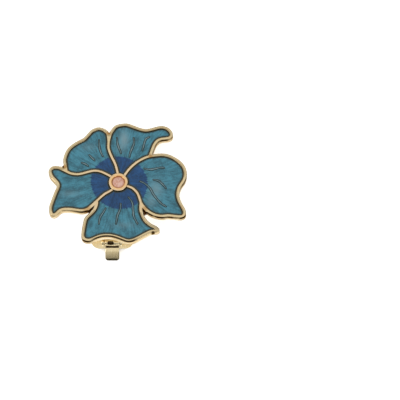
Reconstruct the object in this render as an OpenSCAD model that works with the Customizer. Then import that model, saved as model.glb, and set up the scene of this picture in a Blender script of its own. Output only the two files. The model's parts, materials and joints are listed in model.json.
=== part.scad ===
// Clip-on earring: a flat enamelled flower with five petals and a hinged clip behind it.
// It lies on its back, propped by the clip's thumb tab, with the flower's foot raised.

/* [Flower] */
// Half the flower's width, the unit of the outline tables
flower_r = 17.25; // [15:0.25:20]
// Thickness of the setting, from its back to the top of the rims
flower_t = 1.7; // [1.5:0.1:2.4]
// Width of the gold rims and of the dividers between petals
rim_w = 0.7; // [0.5:0.02:0.8]
// How much further the outer rims reach out than the dividers' half width
rim_out = 0.17; // [0:0.01:0.2]
// Depth of the enamel pockets below the top of the rims
pocket_d = 0.9; // [0.6:0.05:1.2]
// How far the enamel's surface lies below the top of the rims
enamel_sink = 0.12; // [0.06:0.02:0.3]
// Width of a raised vein at its middle
vein_w = 0.26; // [0.18:0.02:0.4]
// Width of a vein's ends, as a share of its middle
vein_tip = 0.4; // [0.15:0.05:0.6]
// Reach of the dark blue ring round the flower's centre, as a share of flower_r like the veins
navy_share = 0.42; // [0.35:0.01:0.5]
// Thickness of the low webs that fill the two lower notches
web_t = 0.7; // [0.5:0.1:1]

/* [Centre] */
// Outer radius of the bezel at the flower's centre
bezel_r = 2.4; // [2.1:0.05:2.8]
// Wall of the bezel
bezel_wall = 0.78; // [0.5:0.02:0.9]
// How far the bezel stands above the rims
bezel_rise = 0.35; // [0.2:0.05:0.6]
// Depth of the bezel's cup
cup_d = 1.0; // [0.7:0.05:1.4]
// How far the middle of the pink enamel stands above its edge
dome_rise = 0.22; // [0.1:0.02:0.4]

/* [Clip foot] */
// Distance of the clip's middle from the flower's, to the left
clip_left = 1.65; // [0:0.05:3]
// Distance of the hinge pin below the flower's centre
hinge_down = 13; // [12.7:0.05:13.5]
// Distance of the hinge pin behind the flower's back
hinge_back = 6.2; // [5.6:0.05:6.8]
// Thickness of the foot and of its leg
foot_t = 0.6; // [0.5:0.05:0.9]
// Length of the soldered foot
foot_len = 5; // [4:0.1:7]
// Width of the foot and of its leg
foot_w = 3.0; // [2.4:0.1:3.3]
// Radius of the bend between foot and leg
foot_bend_r = 0.9; // [0.5:0.1:1.4]
// Length of the hinge barrel
barrel_len = 3.7; // [3.4:0.05:4]
// Diameter of the barrel at its middle
barrel_d = 1.9; // [1.7:0.05:2.1]
// Diameter of the barrel at its ends
barrel_end_d = 1.5; // [1.4:0.05:1.65]
// Width of the oval sight hole in the barrel
eye_w = 1.65; // [1.2:0.05:2.2]
// Height of the sight hole
eye_h = 0.95; // [0.6:0.05:1.1]
// How far the sight hole lies left of the barrel's middle
eye_left = 0.35; // [0:0.05:0.5]
// Angle between the sight hole and the flower's front
eye_turn = 35; // [25:1:50]

/* [Hinge pin] */
// Diameter of the hinge pin
pin_d = 0.9; // [0.7:0.05:1]
// Radial clearance between the pin and its bores
pin_clear = 0.04; // [0.02:0.01:0.08]
// How far each end of the pin stands out of its lug
pin_proud = 0.15; // [0.05:0.05:0.3]

/* [Paddle] */
// Width of the paddle
pad_w = 10.8; // [8:0.1:12]
// Length of the paddle without its thumb tab
pad_len = 11.6; // [9:0.1:13]
// Thickness of the paddle's sheet
pad_t = 0.8; // [0.6:0.05:1]
// Radius of the paddle's lower corners
pad_corner_r = 2.2; // [0.8:0.1:2.5]
// Angle at which the closed paddle leans towards the flower's back
pad_lean = 20; // [16:1:22]
// Width of the paddle's window below the barrel
window_w = 3.3; // [3:0.05:3.4]
// Height of the window
window_h = 2.4; // [1.8:0.1:3]
// Strip of metal that stays below the window
window_sill = 0.22; // [0.15:0.01:0.4]
// Width of the spring tongue cut in the paddle
tongue_w = 2.2; // [1.6:0.1:2.4]
// Length of the spring tongue above the window
tongue_len = 5.2; // [3.5:0.1:6]
// Thickness of the two lugs that hold the pin
lug_t = 0.6; // [0.45:0.05:0.8]
// Radius of the lugs round the pin
lug_r = 1.0; // [0.85:0.05:1.1]
// Gap between each lug and the barrel
lug_gap = 0.1; // [0.05:0.05:0.3]
// Distance of the pin above the paddle's lower edge
pin_up = 1.6; // [1.1:0.05:1.8]
// Distance of the pin in front of the paddle's face
pin_front = 1.2; // [1.1:0.05:1.4]

/* [Thumb tab] */
// Width of the thumb tab
tab_w = 3.5; // [2.8:0.05:4]
// Length of the thumb tab along its bend
tab_len = 2.95; // [2.4:0.05:4]
// Angle through which the tab bends backwards
tab_bend = 30; // [15:1:45]
// Radius of the two corners of the tab's end
tab_corner_r = 0.8; // [0.4:0.1:1.2]

/* [Fit] */
// Gap left between the enamel and the metal round it
fit_gap = 0.03; // [0.02:0.01:0.06]

/* [Hidden] */
petal_names = ["upper_left", "upper_right", "right", "lower", "left"];

gold = [0.87, 0.73, 0.50];
pale_gold = [0.90, 0.80, 0.60];
teal = [0.27, 0.50, 0.58];
navy = [0.16, 0.29, 0.50];
coral = [0.85, 0.62, 0.54];

// Fineness of the rounds, and of the curves between two rows of a table
$fn = 64;
curve_steps = 3;
vein_steps = 3;
corner_fn = 24;
// A cut runs this far past the face that it goes through
over = 0.5;
// What is joined to another form reaches this far into it
bite = 0.1;

// Columns of the outline tables: shares of flower_r from the flower's centre
ACROSS = 0;
UP = 1;

// Divider between the upper left and the upper right petal, from the bezel to its fork
stem_top = [[0, 0.1], [-0.045, 0.28], [-0.11, 0.42], [-0.15, 0.54], [-0.15, 0.645]];

// Divider between the left and the upper left petal, on to where the upper left petal's edge ends
stem_left = [[-0.08, 0.08], [-0.19, 0.14], [-0.27, 0.175], [-0.35, 0.185], [-0.43, 0.17],
    [-0.53, 0.14], [-0.61, 0.13], [-0.695, 0.145], [-0.755, 0.175]];

// Divider between the right and the upper right petal, on to where the upper right petal's edge ends
stem_right = [[0.06, 0.07], [0.14, 0.19], [0.195, 0.255], [0.255, 0.31], [0.32, 0.355],
    [0.385, 0.39], [0.445, 0.41]];

// Dividers on the lower petal's right and left
stem_low_right = [[0.08, -0.04], [0.19, -0.08], [0.25, -0.13], [0.29, -0.19], [0.33, -0.315]];
stem_low_left = [[-0.05, -0.08], [-0.12, -0.135], [-0.195, -0.18], [-0.255, -0.235], [-0.305, -0.285]];

// Free edges of the petals, clockwise for the upper three
edge_upper_left = [[-0.165, 0.755], [-0.205, 0.815], [-0.295, 0.85], [-0.385, 0.815], [-0.44, 0.755],
    [-0.5, 0.685], [-0.57, 0.645], [-0.655, 0.59], [-0.735, 0.505], [-0.78, 0.37], [-0.77, 0.27]];
edge_upper_right = [[-0.13, 0.735], [-0.105, 0.8], [-0.045, 0.88], [0.03, 0.905], [0.11, 0.91],
    [0.2, 0.88], [0.3, 0.84], [0.39, 0.82], [0.475, 0.835], [0.6, 0.87], [0.675, 0.86], [0.73, 0.825],
    [0.76, 0.77], [0.75, 0.72], [0.7, 0.7], [0.62, 0.69], [0.565, 0.665], [0.52, 0.61], [0.49, 0.535],
    [0.47, 0.475]];
edge_right = [[0.54, 0.425], [0.65, 0.43], [0.74, 0.41], [0.83, 0.36], [0.9, 0.3], [0.948, 0.225],
    [0.966, 0.13], [0.945, 0.035], [0.887, -0.06], [0.86, -0.15], [0.86, -0.225], [0.888, -0.31],
    [0.936, -0.405], [0.955, -0.46], [0.946, -0.51], [0.9, -0.528], [0.8, -0.519], [0.72, -0.511],
    [0.64, -0.52], [0.56, -0.509], [0.485, -0.478], [0.42, -0.43], [0.37, -0.373]];
edge_left = [[-0.81, 0.203], [-0.86, 0.228], [-0.92, 0.235], [-0.965, 0.222], [-0.988, 0.17],
    [-0.962, 0.095], [-0.917, 0.045], [-0.878, -0.005], [-0.863, -0.06], [-0.897, -0.155],
    [-0.93, -0.255], [-0.96, -0.35], [-0.968, -0.42], [-0.954, -0.48], [-0.92, -0.5],
    [-0.88, -0.475], [-0.84, -0.433], [-0.78, -0.412], [-0.69, -0.412], [-0.61, -0.423],
    [-0.52, -0.433], [-0.435, -0.407], [-0.35, -0.33]];
edge_lower = [[-0.305, -0.34], [-0.337, -0.43], [-0.402, -0.505], [-0.455, -0.57], [-0.473, -0.65],
    [-0.49, -0.765], [-0.493, -0.83], [-0.473, -0.873], [-0.425, -0.89], [-0.37, -0.88],
    [-0.3, -0.847], [-0.22, -0.822], [-0.13, -0.817], [-0.04, -0.832], [0.06, -0.87], [0.14, -0.9],
    [0.215, -0.893], [0.3, -0.853], [0.4, -0.795], [0.485, -0.755], [0.575, -0.74], [0.54, -0.7],
    [0.475, -0.667], [0.41, -0.613], [0.36, -0.54], [0.33, -0.45], [0.325, -0.375]];

// Raised veins, petal by petal, from the inner end to the outer
veins = [
    [
        [[-0.23, 0.41], [-0.265, 0.49], [-0.285, 0.565], [-0.29, 0.675]],
        [[-0.35, 0.35], [-0.395, 0.395], [-0.43, 0.435]],
        [[-0.44, 0.26], [-0.49, 0.295], [-0.54, 0.31]],
    ],
    [
        [[0.035, 0.46], [0.005, 0.535], [-0.02, 0.615], [-0.03, 0.71]],
        [[0.158, 0.405], [0.165, 0.46], [0.19, 0.53], [0.22, 0.615], [0.215, 0.71]],
        [[0.345, 0.505], [0.37, 0.615], [0.395, 0.69], [0.445, 0.72]],
    ],
    [
        [[0.375, 0.22], [0.42, 0.207], [0.48, 0.205], [0.55, 0.22], [0.61, 0.235], [0.665, 0.23]],
        [[0.505, 0.045], [0.575, 0.03], [0.635, -0.02], [0.695, -0.095]],
        [[0.315, 0.02], [0.39, -0.02], [0.46, -0.09], [0.505, -0.175], [0.56, -0.255], [0.62, -0.325],
            [0.695, -0.375]],
    ],
    [
        [[0.15, -0.23], [0.195, -0.29], [0.215, -0.36], [0.22, -0.45], [0.23, -0.53], [0.26, -0.595],
            [0.285, -0.645]],
        [[0.04, -0.325], [0.035, -0.415], [0, -0.5], [-0.015, -0.58], [-0.025, -0.645]],
        [[-0.175, -0.4], [-0.215, -0.475], [-0.255, -0.545], [-0.27, -0.645]],
    ],
    [],
];

// Low webs in the notches beside the lower and the left petal, three corners each
notch_webs = [
    [[0.33, -0.35], [0.43, -0.46], [0.345, -0.5]],
    [[-0.32, -0.32], [-0.46, -0.43], [-0.37, -0.47]],
    [[-0.76, 0.2], [-0.86, 0.24], [-0.785, 0.31]],
];

function scaled(rows) = [for (row = rows) flower_r * [row[ACROSS], row[UP]]];
function reversed(p) = [for (i = [len(p) - 1 : -1 : 0]) p[i]];
function head(p, count) = [for (i = [0 : count - 1]) p[i]];

// A smooth curve through the points a, b, c and d, between b and c
function blend(a, b, c, d, s) =
    0.5 * (2 * b + (c - a) * s + (2 * a - 5 * b + 4 * c - d) * s * s + (3 * b - a - 3 * c + d) * s * s * s);
function curve(p, steps) = concat(
    [for (i = [0 : len(p) - 2], k = [0 : steps - 1])
        blend(p[max(i - 1, 0)], p[i], p[i + 1], p[min(i + 2, len(p) - 1)], k / steps)],
    [p[len(p) - 1]]
);

// The long curves that the petals share
fork_top = stem_top[len(stem_top) - 1];
fork_left = stem_left[len(stem_left) - 1];
fork_right = stem_right[len(stem_right) - 1];
fork_low_right = stem_low_right[len(stem_low_right) - 1];
fork_low_left = stem_low_left[len(stem_low_left) - 1];
curve_top = curve(scaled(stem_top), curve_steps);
curve_left = curve(scaled(concat(stem_left, edge_left, [fork_low_left])), curve_steps);
curve_right = curve(scaled(concat(stem_right, edge_right, [fork_low_right])), curve_steps);
curve_low_right = curve(scaled(stem_low_right), curve_steps);
curve_low_left = curve(scaled(stem_low_left), curve_steps);
curve_upper_left = curve(scaled(concat([fork_top], edge_upper_left, [fork_left])), curve_steps);
curve_upper_right = curve(scaled(concat([fork_top], edge_upper_right, [fork_right])), curve_steps);
curve_lower = curve(scaled(concat([fork_low_left], edge_lower, [fork_low_right])), curve_steps);
left_stem_points = (len(stem_left) - 1) * curve_steps + 1;
right_stem_points = (len(stem_right) - 1) * curve_steps + 1;

// Middle lines of the rims, one closed outline a petal
petals = [
    concat(curve_top, curve_upper_left, reversed(head(curve_left, left_stem_points))),
    concat(curve_top, curve_upper_right, reversed(head(curve_right, right_stem_points))),
    concat(curve_right, reversed(curve_low_right)),
    concat(curve_low_right, reversed(curve_lower), reversed(curve_low_left)),
    concat(curve_left, reversed(curve_low_left)),
];

navy_r = navy_share * flower_r;

// Heights over the top of the rims
back_z = -flower_t;
floor_z = -pocket_d;
cup_r = bezel_r - bezel_wall;
cup_floor_z = bezel_rise - cup_d;
pink_r = cup_r - fit_gap;
// Edge and middle of the pink enamel
pink_edge_z = bezel_rise - enamel_sink - dome_rise;
dome_r = (pink_r * pink_r + dome_rise * dome_rise) / (2 * dome_rise);

// Hinge axis in the flower's frame, across the flower's width
hinge_y = -hinge_down;
hinge_z = back_z - hinge_back;
bore_d = pin_d + 2 * pin_clear;
lug_in = barrel_len / 2 + lug_gap;
lug_out = lug_in + lug_t;
pin_len = 2 * (lug_out + pin_proud);
slot_w = (window_w - tongue_w) / 2;
tab_bend_r = tab_len / (tab_bend * PI / 180);

// The lowest corner of the thumb tab, from the hinge, in the paddle's frame and in the flower's
tab_back_r = tab_bend_r - pad_t / 2;
tab_front_r = tab_bend_r + pad_t / 2;
tab_centre = [-pin_up, -pin_front - pad_t / 2 - tab_bend_r];
tab_back_corner = tab_centre + tab_back_r * [-sin(tab_bend), cos(tab_bend)];
tab_front_corner = tab_centre + tab_front_r * [-sin(tab_bend), cos(tab_bend)];
function leaned(p) = [
    hinge_y + p[0] * cos(pad_lean) - p[1] * sin(pad_lean),
    hinge_z + p[0] * sin(pad_lean) + p[1] * cos(pad_lean)
];
tab_rest = leaned(tab_back_corner);
tab_tip = leaned(tab_front_corner);

// How the earring lies: on the tab's end and on the back of the highest petal
outline_points = [for (p = petals, q = p) q];
rim_reach = rim_w / 2 + rim_out;
flower_left = min([for (q = outline_points) q[0]]) - rim_reach;
flower_right = max([for (q = outline_points) q[0]]) + rim_reach;
flower_top = max([for (q = outline_points) q[1]]) + rim_reach;
rest_tilt = atan2(back_z - tab_rest[1], flower_top - tab_rest[0]);
lift = flower_top * sin(rest_tilt) - back_z * cos(rest_tilt);
front_y = tab_tip[0] * cos(rest_tilt) + tab_tip[1] * sin(rest_tilt);
rear_y = flower_top * cos(rest_tilt);

// Moves the flower's frame to where the earring lies, centred over the origin
module lying() {
    translate([-(flower_left + flower_right) / 2, -(front_y + rear_y) / 2, lift])
        rotate([-rest_tilt, 0, 0])
            children();
}

// Puts the paddle's frame at the hinge: X along the pin, Y up the paddle, Z to its front
module at_hinge() {
    translate([-clip_left, hinge_y, hinge_z])
        children();
}

module petal(k) {
    polygon(petals[k]);
}

module petal_cell(k, inset) {
    difference() {
        offset(delta = -inset, $fn = corner_fn)
            petal(k);
        circle(r = bezel_r - bite);
    }
}

module flower_outline() {
    offset(r = rim_reach, $fn = corner_fn)
        union() {
            for (k = [0 : len(petals) - 1])
                petal(k);
        }
}

// A thin leaf-shaped stroke along a curve, widest at its middle
function side_step(p, i) =
    let (d = p[min(i + 1, len(p) - 1)] - p[max(i - 1, 0)])
    [-d[1], d[0]] / norm(d);
function stroke_half(i, last) = vein_w / 2 * (vein_tip + (1 - vein_tip) * sin(180 * i / last));

module stroke(p) {
    last = len(p) - 1;
    polygon(concat(
        [for (i = [0 : last]) p[i] + side_step(p, i) * stroke_half(i, last)],
        [for (i = [last : -1 : 0]) p[i] - side_step(p, i) * stroke_half(i, last)]
    ));
}

module petal_veins(k, gap) {
    for (vein = veins[k])
        offset(delta = gap, $fn = corner_fn)
            stroke(curve(scaled(vein), vein_steps));
}

module pockets() {
    for (k = [0 : len(petals) - 1])
        translate([0, 0, floor_z])
            linear_extrude(pocket_d + over)
                petal_cell(k, rim_w / 2);
}

module raised_veins() {
    for (k = [0 : len(petals) - 1])
        translate([0, 0, floor_z - bite])
            linear_extrude(pocket_d - enamel_sink / 2 + bite)
                petal_veins(k, 0);
}

module notch_web(corners) {
    translate([0, 0, back_z])
        linear_extrude(web_t)
            polygon(scaled(corners));
}

module bezel() {
    translate([0, 0, back_z])
        cylinder(r = bezel_r, h = flower_t + bezel_rise);
}

module bezel_cup() {
    translate([0, 0, cup_floor_z])
        cylinder(r = cup_r, h = cup_d + over);
}

// Foot and leg of the clip, seen from the side: X is the flower's Y and Y its Z
module foot_profile() {
    leg_in = barrel_d / 2;
    leg_out = leg_in - foot_t;
    translate([leg_out, 0])
        square([foot_t, hinge_back]);
    translate([leg_out, hinge_back - foot_t])
        square([foot_len, foot_t + bite]);
    translate([leg_in, hinge_back - foot_t - foot_bend_r])
        difference() {
            square(foot_bend_r);
            translate([foot_bend_r, 0])
                circle(r = foot_bend_r);
        }
}

// Turns a side profile into a solid across the hinge, centred on the clip
module across(width) {
    rotate([90, 0, 90])
        translate([0, 0, -width / 2])
            linear_extrude(width)
                children();
}

// The barrel swells towards its middle along one arc
module barrel() {
    swell = (barrel_d - barrel_end_d) / 2;
    arc_r = (barrel_len * barrel_len / 4 + swell * swell) / (2 * swell);
    rotate([0, 90, 0])
        rotate_extrude()
            intersection() {
                translate([barrel_d / 2 - arc_r, 0])
                    circle(r = arc_r, $fn = 4 * $fn);
                translate([0, -barrel_len / 2])
                    square([barrel_d, barrel_len]);
            }
}

module hinge_bore(length) {
    rotate([0, 90, 0])
        cylinder(d = bore_d, h = length, center = true);
}

// The oval sight hole looks forwards and down
module eye_hole() {
    translate([-eye_left, 0, 0])
        rotate([eye_turn, 0, 0])
            linear_extrude(barrel_d) {
                square([eye_w - eye_h, eye_h], center = true);
                for (side = [-1, 1])
                    translate([side * (eye_w - eye_h) / 2, 0])
                        circle(d = eye_h);
            }
}

module clip_foot() {
    at_hinge()
        difference() {
            union() {
                across(foot_w)
                    foot_profile();
                barrel();
            }
            hinge_bore(barrel_len + over);
            eye_hole();
        }
}

module plate() {
    difference() {
        translate([0, 0, back_z])
            linear_extrude(flower_t)
                flower_outline();
        pockets();
    }
}

module flower_setting() {
    color(gold)
        lying()
            difference() {
                union() {
                    plate();
                    raised_veins();
                    for (corners = notch_webs)
                        notch_web(corners);
                    bezel();
                    clip_foot();
                }
                bezel_cup();
            }
}

module enamel_layer() {
    translate([0, 0, floor_z + fit_gap])
        linear_extrude(pocket_d - enamel_sink - fit_gap)
            children();
}

module enamel_cell(k) {
    difference() {
        petal_cell(k, rim_w / 2 + fit_gap);
        circle(r = bezel_r + fit_gap);
        petal_veins(k, fit_gap);
    }
}

module teal_enamel(k) {
    color(teal)
        lying()
            enamel_layer()
                difference() {
                    enamel_cell(k);
                    circle(r = navy_r + fit_gap);
                }
}

module navy_enamel(k) {
    color(navy)
        lying()
            enamel_layer()
                intersection() {
                    enamel_cell(k);
                    circle(r = navy_r);
                }
}

module centre_enamel() {
    color(coral)
        lying()
            rotate_extrude()
                union() {
                    translate([0, cup_floor_z + fit_gap])
                        square([pink_r, pink_edge_z - cup_floor_z - fit_gap]);
                    intersection() {
                        translate([0, pink_edge_z + dome_rise - dome_r])
                            circle(r = dome_r);
                        translate([0, pink_edge_z])
                            square([pink_r, dome_rise]);
                    }
                }
}

module hinge_pin() {
    color(pale_gold)
        lying()
            at_hinge()
                rotate([0, 90, 0])
                    cylinder(d = pin_d, h = pin_len, center = true);
}

// Outline of the paddle seen from its front, with its lower edge on the X axis
module pad_outline() {
    top_r = pad_w / 2;
    translate([0, pad_len - top_r])
        circle(r = top_r);
    translate([-top_r, pad_corner_r])
        square([pad_w, pad_len - top_r - pad_corner_r]);
    translate([-top_r + pad_corner_r, 0])
        square([pad_w - 2 * pad_corner_r, 2 * pad_corner_r]);
    for (side = [-1, 1])
        translate([side * (top_r - pad_corner_r), pad_corner_r])
            circle(r = pad_corner_r);
}

// The window below the barrel and the two slots that free the spring tongue
module pad_cuts() {
    translate([-window_w / 2, window_sill])
        square([window_w, window_h]);
    for (side = [-1, 1])
        translate([side * (tongue_w + slot_w) / 2, window_sill + window_h + tongue_len / 2])
            square([slot_w, tongue_len + over], center = true);
}

module pad_plate() {
    translate([0, -pin_up, -pin_front - pad_t])
        linear_extrude(pad_t)
            difference() {
                pad_outline();
                pad_cuts();
            }
}

module lug(side) {
    translate([side * (lug_in + lug_t / 2), 0, 0])
        across(lug_t) {
            circle(r = lug_r);
            translate([-lug_r, -pin_front - pad_t / 2])
                square([2 * lug_r, pin_front + pad_t / 2]);
        }
}

// Outline of the thumb tab seen from the paddle's front
module tab_outline() {
    reach = tab_front_r * sin(tab_bend);
    translate([-tab_w / 2, -pin_up - reach + tab_corner_r])
        square([tab_w, reach]);
    translate([-tab_w / 2 + tab_corner_r, -pin_up - reach])
        square([tab_w - 2 * tab_corner_r, reach]);
    for (side = [-1, 1])
        translate([side * (tab_w / 2 - tab_corner_r), -pin_up - reach + tab_corner_r])
            circle(r = tab_corner_r);
}

// The tab is a strip that bends backwards from the paddle's lower edge
module thumb_tab() {
    intersection() {
        across(tab_w)
            translate(tab_centre)
                intersection() {
                    difference() {
                        circle(r = tab_front_r, $fn = 128);
                        circle(r = tab_back_r, $fn = 128);
                    }
                    polygon([
                        [0, 0],
                        [bite, tab_front_r + over],
                        (tab_front_r + over) * [-sin(tab_bend), cos(tab_bend)] / cos(tab_bend / 2)
                    ]);
                }
        translate([0, 0, tab_centre[1]])
            linear_extrude(tab_front_r + over)
                tab_outline();
    }
}

module clip_paddle() {
    color(pale_gold)
        lying()
            at_hinge()
                rotate([pad_lean, 0, 0])
                    difference() {
                        union() {
                            pad_plate();
                            lug(-1);
                            lug(1);
                            thumb_tab();
                        }
                        hinge_bore(2 * lug_out + over);
                    }
}

flower_setting();
centre_enamel();
hinge_pin();
clip_paddle();
for (k = [0 : len(petal_names) - 1]) {
    teal_enamel(k);
    navy_enamel(k);
}
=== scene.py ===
"""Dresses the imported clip-on flower earring and sets it on its stage.

The file is laid out as an add-on and is run as a script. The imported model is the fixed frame: every piece
that is made here lies where its CAD node lies, and rides on that node's body.
"""

import json
import math

import bmesh
import bpy
from bpy.props import FloatProperty, FloatVectorProperty, IntProperty, PointerProperty
from mathutils import Matrix, Vector
from mathutils.kdtree import KDTree


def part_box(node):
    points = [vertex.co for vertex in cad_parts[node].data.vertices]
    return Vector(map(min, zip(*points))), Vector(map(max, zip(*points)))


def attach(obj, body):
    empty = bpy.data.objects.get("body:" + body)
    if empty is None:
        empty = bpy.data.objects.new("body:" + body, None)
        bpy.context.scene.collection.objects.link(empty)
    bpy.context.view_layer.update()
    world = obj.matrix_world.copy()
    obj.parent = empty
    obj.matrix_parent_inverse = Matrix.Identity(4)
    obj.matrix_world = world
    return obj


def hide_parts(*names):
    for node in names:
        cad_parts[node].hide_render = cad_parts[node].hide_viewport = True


bl_info = {
    "name": "Flower Earring Dresser",
    "version": (1, 0, 0),
    "blender": (4, 5, 0),
    "location": "3D View > Sidebar > Earring",
    "description": "Finishes an enamelled clip-on flower earring and sets its stage",
    "category": "Object",
}

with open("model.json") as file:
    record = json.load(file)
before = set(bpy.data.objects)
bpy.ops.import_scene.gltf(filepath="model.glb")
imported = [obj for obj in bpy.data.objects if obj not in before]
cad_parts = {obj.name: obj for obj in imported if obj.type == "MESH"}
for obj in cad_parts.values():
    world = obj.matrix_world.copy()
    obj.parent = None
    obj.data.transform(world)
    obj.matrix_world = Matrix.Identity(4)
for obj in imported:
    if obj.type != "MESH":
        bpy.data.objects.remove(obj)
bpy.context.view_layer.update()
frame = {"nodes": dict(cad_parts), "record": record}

MM = 0.001
PETALS = ("upper_left", "upper_right", "right", "lower", "left")

# Heights in the flower's frame, in millimetres over the top of the rims
BEZEL_TOP = 0.35
VEIN_TOP = -0.06
ENAMEL_TOP = -0.12
CUP_FLOOR = -0.65
POCKET_FLOOR = -0.9
WEB_TOP = -1.0
BACK = -1.7

# Radius round the hinge's axis inside which the barrel carries painted shade, and half the barrel's length,
# in millimetres
BORE_R = 0.6
BARREL_HALF = 1.85

# Fades of the painted shade on the thumb tab, from clear to full, in millimetres from the hinge's middle: its
# greyer face, its dark end and its dark right side
TAB_SHADE_FADE = (-1.6, -1.9)
TAB_END_SHADE = (-3.1, -3.45)
TAB_SIDE_SHADE = (1.45, 1.65)

# How far in from the flower's edge a point still counts as on its outer rim, and how far apart the cuts lie
# that carry the rims' tones, in millimetres
RIM_REACH = 1.2
RIM_GRID = 0.25

# The lower petal's end, where the painted shade line lies half on the rim: its fades down and to the
# right, in millimetres
LOW_END_DOWN = (-10.8, -12.2)
LOW_END_RIGHT = (-7.0, -5.6)

# Radii of the navy ring and of the coral dome, and the dome's edge and rise, in millimetres
NAVY_R = 7.245
CORAL_R = 1.59
DOME_EDGE = 0.01
DOME_RISE = 0.22

# Clearance between the enamel's underside and the pocket's floor, how far from the metal the enamel's dip
# runs, how high its folds stand, and how near counts as at a height, in millimetres
FLOOR_GAP = 0.03
DIP_REACH = 0.3
FOLD_RISE = 0.03
NEAR = 0.01

# Edges shorter than these are merged away before the rounding, and points along a border lie this far
# apart, in millimetres
SETTING_SLIVER = 0.03
PADDLE_SLIVER = 0.05
POINT_SPACING = 0.04

# Where the flower's centre stands in the picture, as in the photograph: left of the middle and over it, as
# shares of the picture's width
CENTRE_LEFT = 0.2043
CENTRE_OVER = 0.0441

# Soft folds in the enamel that run out from the flower's centre. Columns: angle from the flower's right in
# degrees, half width in degrees, start and end in millimetres from the centre, and tone, dark below zero
FOLDS = (
    (174.5, 2.4, 7.0, 15.0, -0.8),
    (182.5, 2.6, 7.0, 15.0, 0.7),
    (190.5, 2.6, 7.0, 15.5, -0.9),
    (197.0, 2.4, 7.5, 15.0, 0.4),
    (203.5, 2.4, 8.0, 15.0, -0.7),
    (85.0, 7.0, 9.0, 14.5, 0.6),
    (100.0, 3.0, 9.0, 14.0, -0.3),
    (352.0, 8.0, 7.5, 12.0, 0.7),
    (20.0, 5.0, 9.0, 15.0, -0.4),
    (252.0, 2.6, 5.0, 8.4, -0.8),
    (262.0, 2.2, 5.4, 8.6, -0.9),
    (272.0, 2.4, 5.2, 8.6, -0.8),
    (283.0, 2.2, 5.4, 8.4, -0.6),
    (140.0, 6.0, 9.0, 15.0, 0.35),
)

# Pale spots in the enamel, oval and soft. Columns: middle across and up, half width and half height in
# millimetres, and strength
PALE_SPOTS = (
    (1.3, 11.8, 1.1, 2.2, 0.8),
    (0.2, 9.4, 0.9, 1.2, 0.3),
    (9.4, -1.8, 1.6, 2.2, 0.55),
    (8.2, -5.2, 1.2, 1.5, 0.35),
    (-7.6, 9.6, 2.0, 1.0, 0.25),
    (-12.0, -3.0, 2.6, 0.9, 0.3),
    (1.5, -11.4, 2.8, 0.9, 0.25),
)

# Brown tarnish on the gold in corners that a cloth misses. Columns: middle across and up and radius in
# millimetres, and strength
TARNISH = (
    (-2.6, 13.5, 0.8, 0.9),
    (8.0, 7.0, 0.8, 0.7),
    (-13.6, 4.3, 0.8, 0.8),
    (-7.7, -7.2, 1.5, 0.6),
    (6.6, -7.2, 1.0, 0.6),
)

# A dark spot at the lower petal's right tip: middle across and up and radius in millimetres, and strength
DARK_TIP_SPOT = (8.8, -13.45, 0.55, 0.95)

# Material slots of the gold flower
GOLD, VEIN, WEB, CLIP = range(4)


def paint(red, green, blue):
    """A colour given as on a screen, 0 to 255, turned into the linear values that a shader takes."""

    def linear(value):
        value /= 255
        return value / 12.92 if value < 0.04045 else ((value + 0.055) / 1.055) ** 2.4

    return linear(red), linear(green), linear(blue)


# Colours of the finishes and of the painted shades and highlights, beside those that the settings hold
GOLD_FILM = paint(220, 186, 136)
RIM_SHADE = paint(70, 58, 36)
PAINTED_HIGHLIGHT = paint(255, 244, 220)
CUP_GOLD = paint(250, 196, 128)
TARNISH_BROWN = paint(188, 140, 78)
WEB_SHADE_BROWN = paint(118, 82, 44)
VEIN_FILM = paint(136, 162, 168)
VEIN_DEEP = paint(94, 132, 144)
CLIP_FILM = paint(226, 206, 160)
TAB_SHADE_GOLD = paint(176, 156, 108)
TAB_EDGE_SHADE = paint(84, 76, 46)
BORE_SHADE = paint(52, 36, 18)
PALE_TEAL = paint(134, 164, 172)
CORAL_PALE = paint(240, 196, 178)
CORAL_EDGE_SHADE = paint(184, 118, 62)

# Linear colours of the paper, of its fibres and of the painted shadow under the hinge
PAPER = (0.93, 0.93, 0.93)
PAPER_FIBRE = (0.95, 0.95, 0.95)
HINGE_SHADE = (0.08, 0.06, 0.04)


def flower_frame():
    """The matrix from the flower's frame, in millimetres, to the row frame.

    X points to the flower's right, Y to its top and Z to the viewer, and the origin is at the rims' top."""
    back = next(m for m in frame["record"]["mounts"] if m["name"] == "flower_back")
    front = -Vector(back["axis"])
    right = Vector((1, 0, 0))
    up = front.cross(right)
    origin = Vector(back["pos_m"]) - front * BACK * MM
    turn = Matrix((right, up, front)).transposed().to_4x4()
    return Matrix.Translation(origin) @ turn @ Matrix.Scale(MM, 4)


FLOWER = flower_frame()
HINGE = Vector(frame["record"]["behaviour"]["joints"][0]["pos_m"])


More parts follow.
